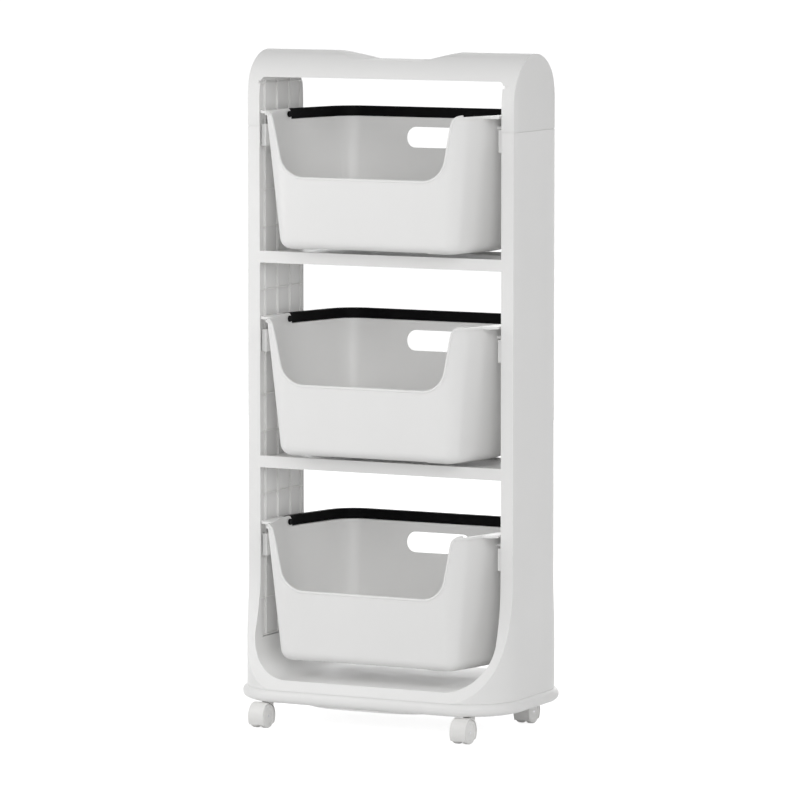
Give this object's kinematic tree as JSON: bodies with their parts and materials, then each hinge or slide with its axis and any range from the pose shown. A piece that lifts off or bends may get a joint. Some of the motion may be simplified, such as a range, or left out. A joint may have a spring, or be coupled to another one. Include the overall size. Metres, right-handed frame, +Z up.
{
  "type": "storage cart",
  "caption": "Narrow rolling storage cart: white moulded frame with saddle grip, hanging open-fronted baskets that slide out, black bail handles, twin-wheel casters.",
  "frame": {"origin": "on the floor under the middle of the frame, between the four swivel axes", "axes": "+Z up, +Y to the rear, the open fronts of the baskets face -Y, +X to the right as seen from the front"},
  "size_m": [0.416, 0.2667, 0.917],
  "materials": {
    "white_shell": "semi-gloss",
    "white_inner": "satin",
    "white_basket": "satin",
    "black_handle": "satin",
    "caster_plastic": "satin",
    "steel": "plain"
  },
  "bodies": {
    "frame": {"top_cap": "white_shell", "left_side_panel": "white_shell", "right_side_panel": "white_shell", "left_inner_liner": "white_inner", "right_inner_liner": "white_inner", "lower_frame": "white_shell", "base_plate": "white_shell", "top_shelf": "white_shell", "middle_shelf": "white_shell", "left_top_runner": "white_shell", "right_top_runner": "white_shell", "left_middle_runner": "white_shell", "right_middle_runner": "white_shell", "left_bottom_runner": "white_shell", "right_bottom_runner": "white_shell"},
    "top_basket_body": {"top_basket": "white_basket", "top_handle_pins": "black_handle"},
    "top_handle_body": {"top_handle": "black_handle"},
    "middle_basket_body": {"middle_basket": "white_basket", "middle_handle_pins": "black_handle"},
    "middle_handle_body": {"middle_handle": "black_handle"},
    "bottom_basket_body": {"bottom_basket": "white_basket", "bottom_handle_pins": "black_handle"},
    "bottom_handle_body": {"bottom_handle": "black_handle"},
    "front_left_caster": {"front_left_caster_hood": "caster_plastic", "front_left_caster_stem": "steel", "front_left_caster_axle": "steel"},
    "front_left_left_wheel_body": {"front_left_left_wheel": "caster_plastic"},
    "front_left_right_wheel_body": {"front_left_right_wheel": "caster_plastic"},
    "front_right_caster": {"front_right_caster_hood": "caster_plastic", "front_right_caster_stem": "steel", "front_right_caster_axle": "steel"},
    "front_right_left_wheel_body": {"front_right_left_wheel": "caster_plastic"},
    "front_right_right_wheel_body": {"front_right_right_wheel": "caster_plastic"},
    "rear_left_caster": {"rear_left_caster_hood": "caster_plastic", "rear_left_caster_stem": "steel", "rear_left_caster_axle": "steel"},
    "rear_left_left_wheel_body": {"rear_left_left_wheel": "caster_plastic"},
    "rear_left_right_wheel_body": {"rear_left_right_wheel": "caster_plastic"},
    "rear_right_caster": {"rear_right_caster_hood": "caster_plastic", "rear_right_caster_stem": "steel", "rear_right_caster_axle": "steel"},
    "rear_right_left_wheel_body": {"rear_right_left_wheel": "caster_plastic"},
    "rear_right_right_wheel_body": {"rear_right_right_wheel": "caster_plastic"}
  },
  "joints": [
    {"name": "top_basket_slide", "type": "slide", "parent": "frame", "child": "top_basket_body", "axis": [0, -1, 0], "range_m": [0, 0.1]},
    {"name": "top_handle_lift", "type": "hinge", "parent": "top_basket_body", "child": "top_handle_body", "pos_m": [0, -0.005, 0.8283], "axis": [1, 0, 0], "range_deg": [0, 18]},
    {"name": "middle_basket_slide", "type": "slide", "parent": "frame", "child": "middle_basket_body", "axis": [0, -1, 0], "range_m": [0, 0.1]},
    {"name": "middle_handle_lift", "type": "hinge", "parent": "middle_basket_body", "child": "middle_handle_body", "pos_m": [0, -0.005, 0.5483], "axis": [1, 0, 0], "range_deg": [0, 31]},
    {"name": "bottom_basket_slide", "type": "slide", "parent": "frame", "child": "bottom_basket_body", "axis": [0, -1, 0], "range_m": [0, 0.1]},
    {"name": "bottom_handle_lift", "type": "hinge", "parent": "bottom_basket_body", "child": "bottom_handle_body", "pos_m": [0, -0.005, 0.2683], "axis": [1, 0, 0], "range_deg": [0, 31]},
    {"name": "front_left_swivel", "type": "hinge", "parent": "frame", "child": "front_left_caster", "pos_m": [-0.1525, -0.099, 0.04], "axis": [0, 0, 1], "continuous": true},
    {"name": "front_left_left_wheel_roll", "type": "hinge", "parent": "front_left_caster", "child": "front_left_left_wheel_body", "pos_m": [-0.1525, -0.117, 0.0165], "axis": [1, 0, 0], "continuous": true},
    {"name": "front_left_right_wheel_roll", "type": "hinge", "parent": "front_left_caster", "child": "front_left_right_wheel_body", "pos_m": [-0.1525, -0.117, 0.0165], "axis": [1, 0, 0], "continuous": true},
    {"name": "front_right_swivel", "type": "hinge", "parent": "frame", "child": "front_right_caster", "pos_m": [0.1525, -0.099, 0.04], "axis": [0, 0, 1], "continuous": true},
    {"name": "front_right_left_wheel_roll", "type": "hinge", "parent": "front_right_caster", "child": "front_right_left_wheel_body", "pos_m": [0.1525, -0.117, 0.0165], "axis": [1, 0, 0], "continuous": true},
    {"name": "front_right_right_wheel_roll", "type": "hinge", "parent": "front_right_caster", "child": "front_right_right_wheel_body", "pos_m": [0.1525, -0.117, 0.0165], "axis": [1, 0, 0], "continuous": true},
    {"name": "rear_left_swivel", "type": "hinge", "parent": "frame", "child": "rear_left_caster", "pos_m": [-0.1525, 0.099, 0.04], "axis": [0, 0, 1], "continuous": true},
    {"name": "rear_left_left_wheel_roll", "type": "hinge", "parent": "rear_left_caster", "child": "rear_left_left_wheel_body", "pos_m": [-0.1525, 0.081, 0.0165], "axis": [1, 0, 0], "continuous": true},
    {"name": "rear_left_right_wheel_roll", "type": "hinge", "parent": "rear_left_caster", "child": "rear_left_right_wheel_body", "pos_m": [-0.1525, 0.081, 0.0165], "axis": [1, 0, 0], "continuous": true},
    {"name": "rear_right_swivel", "type": "hinge", "parent": "frame", "child": "rear_right_caster", "pos_m": [0.1525, 0.099, 0.04], "axis": [0, 0, 1], "continuous": true},
    {"name": "rear_right_left_wheel_roll", "type": "hinge", "parent": "rear_right_caster", "child": "rear_right_left_wheel_body", "pos_m": [0.1525, 0.081, 0.0165], "axis": [1, 0, 0], "continuous": true},
    {"name": "rear_right_right_wheel_roll", "type": "hinge", "parent": "rear_right_caster", "child": "rear_right_right_wheel_body", "pos_m": [0.1525, 0.081, 0.0165], "axis": [1, 0, 0], "continuous": true}
  ]
}
